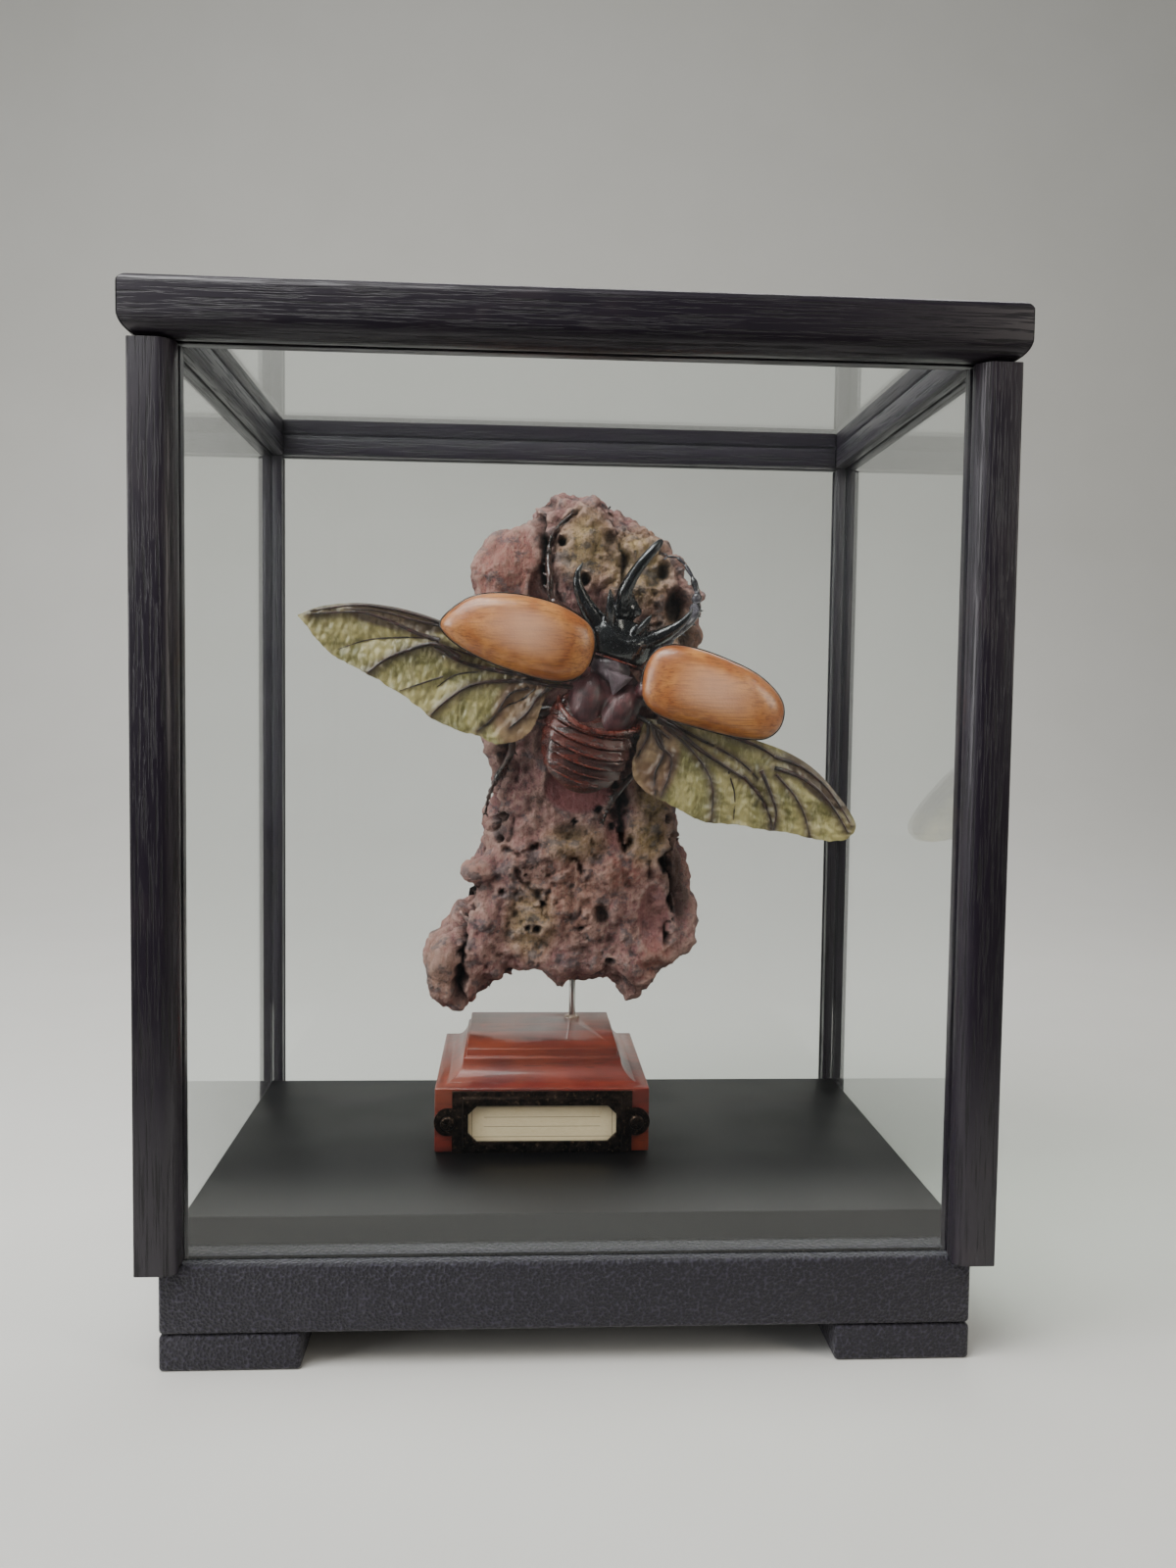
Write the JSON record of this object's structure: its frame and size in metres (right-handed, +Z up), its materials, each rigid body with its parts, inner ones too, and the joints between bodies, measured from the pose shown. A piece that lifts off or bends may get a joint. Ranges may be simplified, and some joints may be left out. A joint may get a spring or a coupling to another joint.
{
  "type": "insect in glass showcase",
  "caption": "Glass showcase with black posts and mitred top rails, a winged horned beetle on driftwood over a moulded wooden plinth with a card holder.",
  "frame": {"origin": "bottom centre of the case, on the plane under its feet", "axes": "+X to the right along the front, +Y to the back, +Z up; the card holder is on the front"},
  "size_m": [0.1728, 0.1198, 0.2101],
  "materials": {
    "case_wood": "black-stained open-pore hardwood, satin lacquer",
    "base_board": "board with a fine black granular coating, matte",
    "floor_lacquer": "black lacquered board, high gloss",
    "case_glass": "clear float glass with ground edges",
    "plinth_wood": "red mahogany under clear gloss lacquer",
    "holder_metal": "antiqued dark bronze-coloured stamping with worn bright edges",
    "screw_metal": "antiqued cross-slot pan screws",
    "card_paper": "bare cream card",
    "rod_steel": "bright drawn steel rod",
    "driftwood": "weathered driftwood, pitted and bored, in places polished by wear",
    "black_chitin": "glossy black insect cuticle",
    "amber_chitin": "amber insect cuticle with a thin dark rim",
    "brown_chitin": "dark red-brown insect cuticle, glossy",
    "leg_chitin": "near-black brown insect cuticle, glossy",
    "wing_membrane": "thin olive insect wing membrane with brown veins"
  },
  "bodies": {
    "root": {"post_front_left": "case_wood", "post_front_right": "case_wood", "post_back_left": "case_wood", "post_back_right": "case_wood", "rail_front": "case_wood", "rail_back": "case_wood", "rail_left": "case_wood", "rail_right": "case_wood", "base_board": "base_board", "foot_front_left": "base_board", "foot_front_right": "base_board", "foot_back_left": "base_board", "foot_back_right": "base_board", "floor_board": "floor_lacquer", "glass_front": "case_glass", "glass_back": "case_glass", "glass_left": "case_glass", "glass_right": "case_glass", "glass_top": "case_glass", "plinth": "plinth_wood", "card_holder": "holder_metal", "card_screw_left": "screw_metal", "card_screw_right": "screw_metal", "card": "card_paper", "support_rod": "rod_steel", "driftwood": "driftwood", "pronotum": "black_chitin", "head": "black_chitin", "elytron_left": "amber_chitin", "elytron_right": "amber_chitin", "abdomen": "brown_chitin", "thorax": "brown_chitin", "scutellum": "brown_chitin", "foreleg_left": "leg_chitin", "foreleg_right": "leg_chitin", "midleg_left": "leg_chitin", "midleg_right": "leg_chitin", "hindleg_left": "leg_chitin", "hindleg_right": "leg_chitin", "hindwing_left": "wing_membrane", "hindwing_right": "wing_membrane"}
  },
  "joints": []
}
